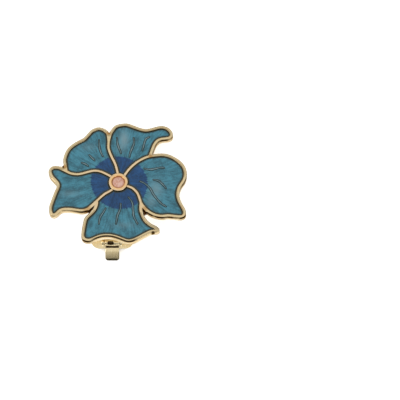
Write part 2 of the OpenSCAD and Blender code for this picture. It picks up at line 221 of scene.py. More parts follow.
class EarringSettings(bpy.types.PropertyGroup):
    """Sizes and colours of the earring's finish and of its stage."""

    rim_round: FloatProperty(
        name="Rim rounding",
        description="How far the polished rounding runs in from the rims' edges beside the enamel",
        default=0.00015,
        min=0.00005,
        max=0.00025,
        precision=5,
        unit="LENGTH",
    )
    outer_round: FloatProperty(
        name="Outer rounding",
        description="How far the polished rounding runs in from the flower's outer edge",
        default=0.00028,
        min=0.00005,
        max=0.0003,
        precision=5,
        unit="LENGTH",
    )
    vein_round: FloatProperty(
        name="Vein rounding",
        description="Rounding of the raised veins' upper edges",
        default=0.000045,
        min=0.00001,
        max=0.00005,
        precision=6,
        unit="LENGTH",
    )
    sheet_round: FloatProperty(
        name="Sheet rounding",
        description="Rounding of the stamped edges of the clip",
        default=0.00009,
        min=0.00002,
        max=0.00012,
        precision=5,
        unit="LENGTH",
    )
    enamel_grid: FloatProperty(
        name="Enamel grid",
        description="Spacing of the points that carry the enamel's relief",
        default=0.00014,
        min=0.0001,
        max=0.0005,
        precision=5,
        unit="LENGTH",
    )
    enamel_dip: FloatProperty(
        name="Enamel dip",
        description="How far the enamel's surface sinks where it meets the metal",
        default=0.00009,
        min=0.0,
        max=0.0002,
        precision=5,
        unit="LENGTH",
    )
    outline_width: FloatProperty(
        name="Dark outline",
        description="Width of the dark line in the enamel along the metal",
        default=0.0006,
        min=0.0001,
        max=0.0008,
        precision=5,
        unit="LENGTH",
    )
    vein_line: FloatProperty(
        name="Vein line",
        description="Width of the dark line in the enamel along a vein",
        default=0.00024,
        min=0.0001,
        max=0.0005,
        precision=5,
        unit="LENGTH",
    )
    gold: FloatVectorProperty(
        name="Gold",
        description="Colour of the polished gold plating",
        default=paint(238, 212, 174),
        subtype="COLOR",
        min=0.0,
        max=1.0,
    )
    rim_gold: FloatVectorProperty(
        name="Rim gold",
        description="Colour of the gold plating on the outer rims",
        default=paint(226, 206, 162),
        subtype="COLOR",
        min=0.0,
        max=1.0,
    )
    # The gold's painted shade colour: under the rims' edges, at the dark tip spot and on the low webs
    gold_shade: FloatVectorProperty(
        name="Gold shade",
        description="Colour of the gold plating in its recesses",
        default=paint(54, 36, 12),
        subtype="COLOR",
        min=0.0,
        max=1.0,
    )
    clip_gold: FloatVectorProperty(
        name="Clip gold",
        description="Colour of the clip's paler plating",
        default=paint(246, 230, 188),
        subtype="COLOR",
        min=0.0,
        max=1.0,
    )
    teal: FloatVectorProperty(
        name="Teal",
        description="Middle colour of the petals' enamel",
        default=paint(66, 128, 146),
        subtype="COLOR",
        min=0.0,
        max=1.0,
    )
    navy: FloatVectorProperty(
        name="Navy",
        description="Middle colour of the enamel round the centre",
        default=paint(28, 74, 120),
        subtype="COLOR",
        min=0.0,
        max=1.0,
    )
    outline: FloatVectorProperty(
        name="Outline",
        description="Colour of the enamel where it is deepest, along the metal",
        default=paint(52, 58, 46),
        subtype="COLOR",
        min=0.0,
        max=1.0,
    )
    coral: FloatVectorProperty(
        name="Coral",
        description="Colour of the enamel dome at the centre",
        default=paint(218, 156, 130),
        subtype="COLOR",
        min=0.0,
        max=1.0,
    )
    camera_tilt: FloatProperty(
        name="Camera tilt",
        description="Angle of the camera below the flower's own axis",
        default=math.radians(22),
        subtype="ANGLE",
        unit="ROTATION",
    )
    view_width: FloatProperty(
        name="View width",
        description="Width that the camera sees at the flower",
        default=0.1,
        precision=3,
        unit="LENGTH",
    )
    lens: FloatProperty(
        name="Lens",
        description="Focal length of the camera in millimetres",
        default=200.0,
        unit="CAMERA",
    )
    bevel_steps: IntProperty(
        name="Bevel steps",
        description="Facets across the rounding of the rims",
        default=4,
        min=1,
        max=8,
    )


def settings():
    """The settings that the operators read."""
    return bpy.context.scene.earring


# Meshes


def cad_copy(node):
    """A merged copy of a CAD node's mesh, in the flower's frame, with its flat faces whole again."""
    bm = bmesh.new()
    bm.from_mesh(frame["nodes"][node].data)
    bmesh.ops.transform(bm, matrix=FLOWER.inverted(), verts=bm.verts)
    bmesh.ops.remove_doubles(bm, verts=bm.verts, dist=0.001)
    bmesh.ops.dissolve_limit(bm, angle_limit=math.radians(1), verts=bm.verts, edges=bm.edges)
    return bm


def finished(bm, name, materials, body, slot, *nodes):
    """Makes the bmesh an object in the row frame that rides on a body and stands for its CAD nodes."""
    bmesh.ops.transform(bm, matrix=FLOWER, verts=bm.verts)
    mesh = bpy.data.meshes.new(name)
    bm.to_mesh(mesh)
    bm.free()
    piece = bpy.data.objects.new(name, mesh)
    bpy.context.scene.collection.objects.link(piece)
    for material in materials:
        mesh.materials.append(material)
    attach(piece, body)
    if nodes:
        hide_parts(*nodes)
    return piece


def shade(bm, angle):
    """Smooth faces, with the edges sharper than angle, in degrees, kept crisp."""
    for face in bm.faces:
        face.smooth = True
    for edge in bm.edges:
        edge.smooth = edge.is_manifold and edge.calc_face_angle(0) < math.radians(angle)


def flat_shading_kept(piece):
    """Flat faces stay flat beside their rounded edges."""
    weighted = piece.modifiers.new("even_gloss", "WEIGHTED_NORMAL")
    weighted.keep_sharp = True
    weighted.weight = 60


def corners(bm, angle, low=-100.0, high=100.0):
    """The outward edges sharper than angle, in degrees, that lie between two heights."""
    return [
        edge
        for edge in bm.edges
        if edge.is_manifold
        and edge.calc_face_angle_signed() > math.radians(angle)
        and all(low - NEAR < vert.co.z < high + NEAR for vert in edge.verts)
    ]


def rounded(bm, edges, width, steps):
    """Rounds edges over width, in millimetres."""
    bmesh.ops.bevel(
        bm,
        geom=edges,
        offset=width,
        offset_type="OFFSET",
        segments=steps,
        profile=0.5,
        affect="EDGES",
        clamp_overlap=False,
        material=-1,
    )


# Nodes


class Net:
    """A node tree with short ways to add nodes and join them."""

    def __init__(self, tree):
        self.tree = tree

    def add(self, kind, **options):
        node = self.tree.nodes.new(kind)
        for name, value in options.items():
            setattr(node, name, value)
        return node

    def put(self, socket, value):
        if isinstance(value, bpy.types.NodeSocket):
            self.tree.links.new(value, socket)
        elif value is not None:
            socket.default_value = value

    def math(self, operation, first, second=None):
        node = self.add("ShaderNodeMath", operation=operation)
        self.put(node.inputs[0], first)
        self.put(node.inputs[1], second)
        return node.outputs[0]

    def chain(self, operation, *values):
        """One operation over all the values in turn."""
        result = values[0]
        for value in values[1:]:
            result = self.math(operation, result, value)
        return result

    def times(self, *values):
        return self.chain("MULTIPLY", *values)

    def plus(self, *values):
        return self.chain("ADD", *values)

    def most(self, *values):
        return self.chain("MAXIMUM", *values)

    def rest(self, value):
        """What is missing from the value to 1."""
        return self.math("SUBTRACT", 1.0, value)

    def vector(self, operation, first, second=None, scale=None):
        node = self.add("ShaderNodeVectorMath", operation=operation)
        self.put(node.inputs[0], first)
        if operation == "SCALE":
            self.put(node.inputs["Scale"], scale)
        elif operation != "LENGTH":
            self.put(node.inputs[1], second)
        return node.outputs["Value" if operation in ("LENGTH", "DISTANCE") else "Vector"]

    def split(self, vector):
        node = self.add("ShaderNodeSeparateXYZ")
        self.put(node.inputs[0], vector)
        return node.outputs

    def join(self, x, y, z):
        node = self.add("ShaderNodeCombineXYZ")
        for socket, part in zip(node.inputs, (x, y, z)):
            self.put(socket, part)
        return node.outputs[0]

    def noise(self, vector, scale, detail=2.0, roughness=0.5):
        node = self.add("ShaderNodeTexNoise")
        self.put(node.inputs["Vector"], vector)
        self.put(node.inputs["Scale"], scale)
        self.put(node.inputs["Detail"], detail)
        self.put(node.inputs["Roughness"], roughness)
        return node.outputs["Fac"]

    def fade(self, value, low, high, at_low=0.0, at_high=1.0):
        node = self.add("ShaderNodeMapRange", interpolation_type="SMOOTHSTEP", clamp=True)
        for name, number in (
            ("Value", value),
            ("From Min", low),
            ("From Max", high),
            ("To Min", at_low),
            ("To Max", at_high),
        ):
            self.put(node.inputs[name], number)
        return node.outputs["Result"]

    def mix(self, factor, first, second):
        node = self.add("ShaderNodeMix", data_type="RGBA", blend_type="MIX")
        self.put(node.inputs[0], factor)
        a, b = (socket for socket in node.inputs if socket.name in "AB" and socket.type == "RGBA")
        for socket, colour in ((a, first), (b, second)):
            self.put(socket, colour if isinstance(colour, bpy.types.NodeSocket) else opaque(colour))
        return next(socket for socket in node.outputs if socket.type == "RGBA")

    def bump(self, height, strength, distance):
        node = self.add("ShaderNodeBump")
        self.put(node.inputs["Height"], height)
        self.put(node.inputs["Strength"], strength)
        self.put(node.inputs["Distance"], distance)
        return node.outputs["Normal"]

    def group(self, tree, **values):
        node = self.add("ShaderNodeGroup", node_tree=tree)
        for name, value in values.items():
            self.put(node.inputs[name.capitalize()], value)
        return node.outputs

    def attribute(self, name):
        return self.add("ShaderNodeAttribute", attribute_name=name).outputs["Fac"]


def opaque(colour):
    return (*colour, 1.0)


def shaded(colour, share):
    """A linear colour made darker or lighter."""
    return tuple(channel * share for channel in colour)


def new_material(name, **constants):
    """A material with one Principled BSDF whose constant inputs are given, its net and that shader."""
    material = bpy.data.materials.new(name)
    material.use_nodes = True
    net = Net(material.node_tree)
    shader = next(n for n in net.tree.nodes if n.type == "BSDF_PRINCIPLED")
    for key, value in constants.items():
        shader.inputs[key.replace("_", " ")].default_value = value
    return material, net, shader


def new_group(name, inputs, outputs):
    """A shader node group. Inputs and outputs are rows of name and socket type."""
    tree = bpy.data.node_groups.new(name, "ShaderNodeTree")
    for label, kind in inputs:
        tree.interface.new_socket(label, in_out="INPUT", socket_type=f"NodeSocket{kind}")
    for label, kind in outputs:
        tree.interface.new_socket(label, in_out="OUTPUT", socket_type=f"NodeSocket{kind}")
    net = Net(tree)
    return net, net.add("NodeGroupInput").outputs, net.add("NodeGroupOutput").inputs


def flower_place(name):
    """Group: the point in the flower's frame, in millimetres, and its distance from the flower's axis."""
    net, _, outputs = new_group(name, (), (("Place", "Vector"), ("Reach", "Float")))
    place, turn, scale = FLOWER.decompose()
    mapping = net.add("ShaderNodeMapping", vector_type="TEXTURE")
    mapping.inputs["Location"].default_value = place
    mapping.inputs["Rotation"].default_value = turn.to_euler()
    mapping.inputs["Scale"].default_value = scale
    net.put(mapping.inputs["Vector"], net.add("ShaderNodeTexCoord").outputs["Object"])
    x, y, _ = net.split(mapping.outputs[0])
    net.put(outputs["Place"], mapping.outputs[0])
    net.put(outputs["Reach"], net.vector("LENGTH", net.join(x, y, 0.0)))
    return net.tree


def hand_polish(name):
    """Group: the uneven gloss of plated metal, its faint scratches and the tone of its film."""
    net, inputs, outputs = new_group(
        name,
        (("Place", "Vector"), ("Wear", "Float")),
        (("Tone", "Float"), ("Roughness", "Float"), ("Scratches", "Float")),
    )
    cloud = net.noise(inputs["Place"], 0.55, 3.0, 0.55)
    grain = net.noise(inputs["Place"], 5.0, 2.0, 0.6)
    stretched = net.vector("MULTIPLY", inputs["Place"], (3.0, 22.0, 9.0))
    hair = net.noise(stretched, 1.0, 3.0, 0.7)
    net.put(outputs["Tone"], net.fade(cloud, 0.35, 0.7))
    net.put(outputs["Roughness"], net.times(net.fade(grain, 0.35, 0.75), inputs["Wear"]))
    net.put(outputs["Scratches"], net.plus(net.times(hair, 0.5), grain))
    return net.tree


def made_once(name, maker):
    """The node group of that name, made by maker the first time."""
    return bpy.data.node_groups.get(name) or maker(name)


def placed(net):
    """The outputs of the group that gives the place on the flower."""
    return net.group(made_once("flower_place", flower_place))


def polished(net, place, wear):
    """The outputs of the group that gives plated metal its uneven gloss."""
    return net.group(made_once("hand_polish", hand_polish), place=place["Place"], wear=wear)


def soft_spot(net, place, core, across, up, radius, strength):
    """The strength of a round soft spot, full inside its core, which is a share of its radius."""
    flat = net.vector("MULTIPLY", place["Place"], (1, 1, 0))
    off = net.vector("DISTANCE", flat, (across, up, 0))
    return net.fade(off, radius, radius * core, 0.0, strength)


def painted_shade_line(net, x, below, lower_side, inwards, low_end):
    """Painted shade: the brown line under the rims' edge. On the lower petal's end it lies half on the rim
    itself.
    """
    # It is strong where the wall faces down, and weak at the left petal's end
    under = net.times(
        net.fade(below, -0.002, -0.02),
        net.fade(below, -0.9, -0.55),
        net.plus(net.times(lower_side, 0.8), 0.2),
        net.fade(x, -13.0, -8.5, 0.25, 1.0),
    )
    # The half on the rim is weak right of the clip
    half_rim = net.times(
        net.fade(inwards, 0.54, 0.43),
        net.fade(below, -0.18, -0.06),
        net.fade(x, 5.4, 3.8, 0.3, 1.0),
    )
    return net.plus(net.times(under, net.rest(low_end)), net.times(half_rim, low_end))


def polished_gold():
    """Polished gold plating, with painted shade under the rims' edges and on the rims' inner halves, painted
    highlights on their edges and the walls' feet, brown tarnish in the corners, and warm in the bezel's cup.
    """
    chosen = settings()
    warm_gloss = opaque((0.5, 0.42, 0.3))
    material, net, shader = new_material("polished_gold", Metallic=1.0, Specular_Tint=warm_gloss)
    place = placed(net)
    x, y, below = net.split(place["Place"])
    polish = polished(net, place, 0.12)
    # A patchy noise that makes the painted highlight and the painted shade line uneven
    patchy = net.fade(net.noise(place["Place"], 0.32, 2.0, 0.5), 0.42, 0.56)
    lower_side = net.fade(net.attribute("lower_side"), 0.0, 0.8)
    upper_side = net.rest(lower_side)
    inwards = net.attribute("edge_distance")
    # The back has none of the front's shades and stains
    front = net.fade(below, BACK + 0.2, BACK + 0.5)

    outer = net.most(net.fade(place["Reach"], 5.0, 12.0), net.rest(front))
    gold = net.mix(outer, chosen.gold, chosen.rim_gold)
    gold = net.mix(net.times(polish["Tone"], 0.5), gold, GOLD_FILM)
    # Painted shade: where an outer rim's edge faces up or aside, the rim is darker towards the enamel
    to_enamel = net.fade(inwards, RIM_REACH, RIM_REACH - 0.4, 0.0, 0.42)
    inner_half_shade = net.times(net.fade(inwards, 0.36, 0.6), to_enamel, upper_side, front)
    gold = net.mix(inner_half_shade, gold, RIM_SHADE)
    # Painted highlight on that edge and on the feet of all the walls, weaker in patches
    bright = net.most(net.fade(below, -0.45, -0.7), net.times(net.fade(inwards, 0.3, 0.12), upper_side))
    over_back = net.fade(below, BACK + 0.02, BACK + 0.1)
    gloss = net.math("SUBTRACT", 0.95, net.times(patchy, 0.4))
    gold = net.mix(net.times(bright, over_back, gloss), gold, PAINTED_HIGHLIGHT)
    cup = net.times(net.fade(place["Reach"], CORAL_R + 0.8, CORAL_R + 0.1, 0.0, 0.8), front)
    gold = net.mix(cup, gold, CUP_GOLD)
    stained = net.times(net.most(*(soft_spot(net, place, 1 / 3, *spot) for spot in TARNISH)), front)
    gold = net.mix(stained, gold, TARNISH_BROWN)

    low_end = net.times(net.fade(y, *LOW_END_DOWN), net.fade(x, *LOW_END_RIGHT))
    # The painted shade line under the rims' edges, patchy in strength and full where tarnished and at the
    # lower petal's end
    line = painted_shade_line(net, x, below, lower_side, inwards, low_end)
    depth = net.most(net.plus(net.times(patchy, 0.4), 0.6), stained, net.times(low_end, 0.95))
    # A dark spot at the lower petal's right tip
    dark_tip = net.times(soft_spot(net, place, 1 / 2, *DARK_TIP_SPOT), front)
    dark = net.most(net.times(line, depth), dark_tip)
    net.put(shader.inputs["Base Color"], net.mix(dark, gold, chosen.gold_shade))
    net.put(shader.inputs["Roughness"], net.plus(polish["Roughness"], 0.16))
    net.put(shader.inputs["Normal"], net.bump(polish["Scratches"], 0.1, 0.000004))
    return material


def toned_metal(name, metallic, wear, roughness, first, second):
    """Plain metal whose tone goes between two colours."""
    material, net, shader = new_material(name, Metallic=metallic)
    polish = polished(net, placed(net), wear)
    net.put(shader.inputs["Base Color"], net.mix(polish["Tone"], first, second))
    net.put(shader.inputs["Roughness"], net.plus(polish["Roughness"], roughness))
    return material


def web_shade_gold():
    """The low webs in the notches, painted dull brown as the shade that they lie in."""
    return toned_metal("web_shade_gold", 1.0, 0.2, 0.35, settings().gold_shade, WEB_SHADE_BROWN)


def vein_metal():
    """The thin raised veins: gold seen through a film of enamel."""
    return toned_metal("vein_metal", 0.3, 0.3, 0.3, VEIN_FILM, VEIN_DEEP)


def brushed_gold():
    """The clip's paler plating, lightly brushed, with painted shade in the barrel's bore and on the thumb
    tab.
    """
    material, net, shader = new_material("brushed_gold", Metallic=1.0)
    place = placed(net)
    polish = polished(net, place, 0.2)
    brushed = net.noise(net.vector("MULTIPLY", place["Place"], (7.0, 0.5, 0.5)), 1.0, 3.0, 0.6)
    tone = net.plus(net.times(polish["Tone"], 0.5), net.fade(brushed, 0.35, 0.65))
    plating = net.mix(net.times(tone, 0.55), settings().clip_gold, CLIP_FILM)

    off = net.vector("SUBTRACT", place["Place"], FLOWER.inverted() @ HINGE)
    x, y, _ = net.split(off)
    # Painted shade on the thumb tab: a greyer face, a dark end and a dark right side
    plating = net.mix(net.fade(y, *TAB_SHADE_FADE, 0.0, 0.35), plating, TAB_SHADE_GOLD)
    tab_side_shade = net.times(net.fade(x, *TAB_SIDE_SHADE, 0.0, 0.8), net.fade(y, -1.75, -2.1))
    plating = net.mix(net.most(net.fade(y, *TAB_END_SHADE, 0.0, 0.9), tab_side_shade), plating, TAB_EDGE_SHADE)
    # Painted shade in the barrel's bore and in the gaps at its ends
    from_axis = net.vector("LENGTH", net.vector("MULTIPLY", off, (0, 1, 1)))
    bore = net.times(
        net.fade(from_axis, BORE_R + 0.14, BORE_R),
        net.fade(net.math("ABSOLUTE", x), BARREL_HALF + 0.1, BARREL_HALF - 0.05, 0.0, 0.95),
    )
    net.put(shader.inputs["Base Color"], net.mix(bore, plating, BORE_SHADE))
    net.put(shader.inputs["Roughness"], net.plus(polish["Roughness"], 0.24))
    net.put(shader.inputs["Normal"], net.bump(net.plus(polish["Scratches"], brushed), 0.15, 0.000006))
    return material


def petal_enamel():
    """Translucent enamel over a ray-cut ground: teal petals, a navy heart and a dark line along the metal."""
    chosen = settings()
    material, net, shader = new_material(
        "petal_enamel", Coat_Weight=0.5, Coat_Roughness=0.05, Specular_IOR_Level=0.1
    )
    place = placed(net)
    reach = place["Reach"]
    x, y, _ = net.split(place["Place"])
    # The direction from the flower's centre, as shares to the right and up
    right, up = net.math("DIVIDE", x, reach), net.math("DIVIDE", y, reach)
    direction = net.join(right, up, 0.0)
    along = net.join(0.0, 0.0, reach)

    def rays(turns, stretch, detail):
        across = net.vector("SCALE", direction, scale=turns)
        outwards = net.vector("SCALE", along, scale=stretch)
        return net.noise(net.vector("ADD", across, outwards), 1.0, detail, 0.6)

    fine_rays = rays(34.0, 0.45, 3.0)
    broad_rays = rays(8.0, 0.25, 2.0)
    cloud = net.noise(place["Place"], 0.42, 3.0, 0.6)
    grain = net.noise(place["Place"], 4.5, 3.0, 0.75)
    tone = 0.85
    for layer, weight in ((fine_rays, 0.9), (broad_rays, 0.5), (cloud, 0.8), (grain, 0.9)):
        tone = net.plus(net.times(net.math("SUBTRACT", layer, 0.5), weight), tone)
    tone = net.plus(net.times(net.attribute("fold"), 0.22), tone)
    tone = net.fade(tone, 0.58, 1.12)
    teal = net.mix(tone, shaded(chosen.teal, 0.6), shaded(chosen.teal, 1.4))
    teal = net.mix(net.attribute("pale"), teal, PALE_TEAL)
    navy = net.mix(tone, shaded(chosen.navy, 0.6), shaded(chosen.navy, 1.4))
    # The ring lies a little right of the flower's middle, is a little longer aslant and has a ragged edge
    to_right = net.times(right, 0.22)
    aslant = net.times(right, up, 0.5)
    ragged_ring = net.times(net.math("SUBTRACT", fine_rays, 0.5), 1.4)
    ring = net.plus(net.math("SUBTRACT", reach, to_right), ragged_ring, aslant)
    body = net.mix(net.fade(ring, NAVY_R - 0.3, NAVY_R + 0.05), navy, teal)
    ragged = net.times(net.math("SUBTRACT", grain, 0.5), 0.16)
    rim = net.plus(net.attribute("rim_distance"), ragged)
    vein = net.plus(net.attribute("vein_distance"), ragged)
    rim_line, vein_line = chosen.outline_width / MM, chosen.vein_line / MM
    clear = net.times(
        net.fade(rim, rim_line * 0.3, rim_line),
        net.fade(vein, vein_line * 0.55, vein_line * 1.1, 0.05),
    )
    net.put(shader.inputs["Base Color"], net.mix(clear, chosen.outline, body))
    net.put(shader.inputs["Roughness"], net.fade(grain, 0.3, 0.7, 0.32, 0.46))
    relief = net.plus(fine_rays, net.times(grain, 0.4))
    net.put(shader.inputs["Normal"], net.bump(relief, 0.2, 0.00002))
    return material


def coral_glaze():
    """Mottled coral enamel, with painted brown shade where it meets the bezel."""
    material, net, shader = new_material("coral_glaze", Coat_Weight=0.6, Coat_Roughness=0.12)
    place = placed(net)
    grain = net.noise(place["Place"], 3.4, 4.0, 0.7)
    cloud = net.noise(place["Place"], 0.9, 2.0, 0.5)
    mottle = net.fade(net.plus(net.times(grain, 0.7), net.times(cloud, 0.3)), 0.42, 0.58)
    body = net.mix(mottle, settings().coral, CORAL_PALE)
    # Painted shade: browner where the dome meets the bezel
    rim = net.fade(place["Reach"], CORAL_R - 0.42, CORAL_R - 0.05, 0.0, 0.85)
    net.put(shader.inputs["Base Color"], net.mix(rim, body, CORAL_EDGE_SHADE))
    net.put(shader.inputs["Roughness"], net.fade(grain, 0.3, 0.7, 0.3, 0.5))
    net.put(shader.inputs["Normal"], net.bump(grain, 0.3, 0.00006))
    return material


def material(name, maker):
    """The material of that name, made by maker the first time."""
    return bpy.data.materials.get(name) or maker()


# Pieces


def level_faces(bm, height):
    """The faces that look to the viewer at a height."""
    return [f for f in bm.faces if f.normal.z > 0.9 and abs(f.calc_center_median().z - height) < NEAR]


def mark_finishes(bm):
    """Gives the clip's soldered foot, the veins and the low webs their own materials."""
    for face in bm.faces:
        if face.calc_center_median().z < BACK - NEAR:
            face.material_index = CLIP
    for height, index in ((VEIN_TOP, VEIN), (WEB_TOP, WEB)):
        tops = level_faces(bm, height)
        for wall in {near for top in tops for edge in top.edges for near in edge.link_faces}:
            if wall.material_index == GOLD and wall.calc_center_median().z < height + NEAR:
                wall.material_index = index


def outer_edges(bm):
    """The rims' upper edges that stand over a wall down to the flower's back."""
    return [
        edge
        for edge in corners(bm, 40, 0, 0)
        if min(vert.co.z for face in edge.link_faces for vert in face.verts) < BACK + NEAR
    ]


def mark_edges(bm, outline):
    """Notes at each point how far it is from the flower's edge, seen from the front, and how far its side of
    the flower faces down."""
    lower_side = bm.verts.layers.float.new("lower_side")
    edge_distance = bm.verts.layers.float.new("edge_distance")
    for vert in bm.verts:
        nearest, _, away = outline.find((vert.co.x, vert.co.y, 0))
        on_rim = vert.co.z > -NEAR and NEAR < away < RIM_REACH
        upwards = (nearest.y - vert.co.y) / away if on_rim else vert.normal.y
        vert[lower_side] = min(1, max(0, -2 * upwards))
        vert[edge_distance] = away


class EARRING_OT_setting(bpy.types.Operator):
    """Rounds and finishes the gold flower with its rims, veins, bezel and clip foot"""

    bl_idname = "earring.setting"
    bl_label = "Gold Setting"

    def execute(self, context):
        chosen = settings()
        rim_round, sheet_round = chosen.rim_round / MM, chosen.sheet_round / MM
        bm = cad_copy("flower_setting")
        bmesh.ops.dissolve_degenerate(bm, dist=SETTING_SLIVER, edges=bm.edges)
        mark_finishes(bm)
        rounded(bm, corners(bm, 40, VEIN_TOP, VEIN_TOP), chosen.vein_round / MM, 2)
        outer = outer_edges(bm)
        outline = metal_points([outer])
        rounded(bm, outer, chosen.outer_round / MM, chosen.bevel_steps)
        rounded(bm, corners(bm, 40, 0, 0), rim_round, chosen.bevel_steps)
        rounded(bm, corners(bm, 40, BEZEL_TOP, BEZEL_TOP), rim_round, chosen.bevel_steps)
        rounded(bm, corners(bm, 40, BACK, BACK), sheet_round, 2)
        rounded(bm, corners(bm, 60, high=BACK - 0.1), sheet_round / 2, 2)
        bm.normal_update()
        rims = [f for f in bm.faces if f.normal.z > 0.999 and all(abs(v.co.z) < NEAR for v in f.verts)]
        diced(bm, rims, RIM_GRID)
        shade(bm, 32)
        bm.normal_update()
        mark_edges(bm, outline)
        piece = finished(
            bm,
            "gold_flower",
            [
                material("polished_gold", polished_gold),
                material("vein_metal", vein_metal),
                material("web_shade_gold", web_shade_gold),
                material("brushed_gold", brushed_gold),
            ],
            "flower",
            "gold_plate",
            "flower_setting",
        )
        flat_shading_kept(piece)
        return {"FINISHED"}


def island(face):
    """The faces that hang together with one face."""
    found, fresh = {face}, [face]
    while fresh:
        for edge in fresh.pop().edges:
            for near in edge.link_faces:
                if near not in found:
                    found.add(near)
                    fresh.append(near)
    return found


def petal_of(faces):
    """The petal in whose CAD box the middle of a pocket's floor lies nearest to the middle."""
    spots = [vert.co for face in faces for vert in face.verts]
    middle = sum(spots, Vector()) / len(spots)

    def away(name):
        low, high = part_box(f"teal_enamel_{name}")
        return (FLOWER.inverted() @ ((low + high) / 2) - middle).xy.length

    return min(PETALS, key=away)


def pocket_floors():
    """The floor of each pocket as a flat sheet, by petal. It has a hole wherever a vein stands."""
    floors = {}
    whole = cad_copy("flower_setting")
    floor = set(level_faces(whole, POCKET_FLOOR))
    bmesh.ops.delete(whole, geom=[face for face in whole.faces if face not in floor], context="FACES")
    left = set(whole.faces)
    while left:
        faces = island(next(iter(left)))
        left -= faces
        for face in whole.faces:
            face.tag = face in faces
        sheet = whole.copy()
        others = [copy for copy, face in zip(sheet.faces, whole.faces) if not face.tag]
        bmesh.ops.delete(sheet, geom=others, context="FACES")
        floors[petal_of(faces)] = sheet
    whole.free()
    return floors


def diced(bm, faces, step):
    """Cuts faces by planes across X and Y, step millimetres apart."""
    edges = dict.fromkeys(edge for face in faces for edge in face.edges)
    verts = dict.fromkeys(vert for face in faces for vert in face.verts)
    geom = [*faces, *edges, *verts]
    for axis in (0, 1):
        reach = [v.co[axis] for v in bm.verts]
        normal = Vector((axis == 0, axis == 1, 0))
        for i in range(math.ceil(min(reach) / step), math.ceil(max(reach) / step)):
            spot = normal * i * step
            made = bmesh.ops.bisect_plane(bm, geom=geom, dist=0.002, plane_co=spot, plane_no=normal)
            geom = made["geom"]
    return [g for g in geom if isinstance(g, bmesh.types.BMFace)]


def borders(bm, top):
    """The closed borders of the top faces, longest first: the rims' and then the veins'."""
    left = {edge for edge in bm.edges if sum(face in top for face in edge.link_faces) == 1}
    loops = []
    while left:
        loop = fresh = {left.pop()}
        while fresh:
            verts = {vert for edge in fresh for vert in edge.verts}
            fresh = {near for vert in verts for near in vert.link_edges if near in left}
            left -= fresh
            loop = loop | fresh
        loops.append(loop)
    return sorted(loops, key=lambda loop: -sum(edge.calc_length() for edge in loop))


def metal_points(loops):
    """Points along borders, where the enamel meets the metal."""
    spots = []
    for edge in (edge for loop in loops for edge in loop):
        a, b = edge.verts[0].co, edge.verts[1].co
        count = max(1, round((b - a).length / POINT_SPACING))
        spots += [a.lerp(b, i / count) for i in range(count)]
    tree = KDTree(len(spots))
    for i, spot in enumerate(spots):
        tree.insert((spot.x, spot.y, 0), i)
    tree.balance()
    return tree


def distance_to(tree, x, y):
    """Distance of a place from the nearest point, far away where there is none."""
    found = tree.find((x, y, 0))[2]
    return 100.0 if found is None else found


def fold_tone(x, y):
    """Tone of the soft folds at a place, from -1, dark, to 1, light."""
    reach = math.hypot(x, y)
    angle = math.degrees(math.atan2(y, x)) % 360
    tone = 0
    for middle, half, start, end, strength in FOLDS:
        off = (angle - middle + 180) % 360 - 180
        if abs(off) < 3 * half:
            ends = min(max((reach - start) / 1.5, 0), 1) * min(max((end - reach) / 2, 0), 1)
            tone += strength * math.exp(-((off / half) ** 2)) * ends
    return max(-1, min(1, tone))


def paleness(x, y):
    """How pale the enamel is at a place, from 0 to 1."""
    return min(
        1,
        sum(
            strength * math.exp(-(((x - across) / half) ** 2) - ((y - up) / tall) ** 2)
            for across, up, half, tall, strength in PALE_SPOTS
        ),
    )


class EARRING_OT_petals(bpy.types.Operator):
    """Fills the five petals with enamel that dips towards the metal and lies in soft folds"""

    bl_idname = "earring.petals"
    bl_label = "Petal Enamel"

    def execute(self, context):
        chosen = settings()
        floors = pocket_floors()
        for name in PETALS:
            bm = floors[name]
            bmesh.ops.translate(bm, vec=(0, 0, FLOOR_GAP), verts=bm.verts)
            raised = bmesh.ops.extrude_face_region(bm, geom=bm.faces[:], use_keep_orig=True)["geom"]
            tops = [g for g in raised if isinstance(g, bmesh.types.BMFace)]
            verts = [g for g in raised if isinstance(g, bmesh.types.BMVert)]
            bmesh.ops.translate(bm, vec=(0, 0, ENAMEL_TOP - POCKET_FLOOR - FLOOR_GAP), verts=verts)
            top = set(diced(bm, tops, chosen.enamel_grid / MM))
            bmesh.ops.recalc_face_normals(bm, faces=bm.faces)
            loops = borders(bm, top)
            rims, veins = metal_points(loops[:1]), metal_points(loops[1:])
            rim_distance = bm.verts.layers.float.new("rim_distance")
            vein_distance = bm.verts.layers.float.new("vein_distance")
            fold = bm.verts.layers.float.new("fold")
            pale = bm.verts.layers.float.new("pale")
            for vert in {v for face in top for v in face.verts}:
                x, y, _ = vert.co
                vert[rim_distance] = distance_to(rims, x, y)
                vert[vein_distance] = distance_to(veins, x, y)
                vert[fold] = fold_tone(x, y)
                vert[pale] = paleness(x, y)
                clear = min(vert[rim_distance] / DIP_REACH, vert[vein_distance] / DIP_REACH, 1)
                vert.co.z += FOLD_RISE * vert[fold] * clear - chosen.enamel_dip / MM * (1 - clear) ** 2
            for face in bm.faces:
                face.smooth = face in top
            finished(
                bm,
                f"enamel_{name}",
                [material("petal_enamel", petal_enamel)],
                "flower",
                "teal_enamel",
                f"teal_enamel_{name}",
                f"navy_enamel_{name}",
            )
        return {"FINISHED"}


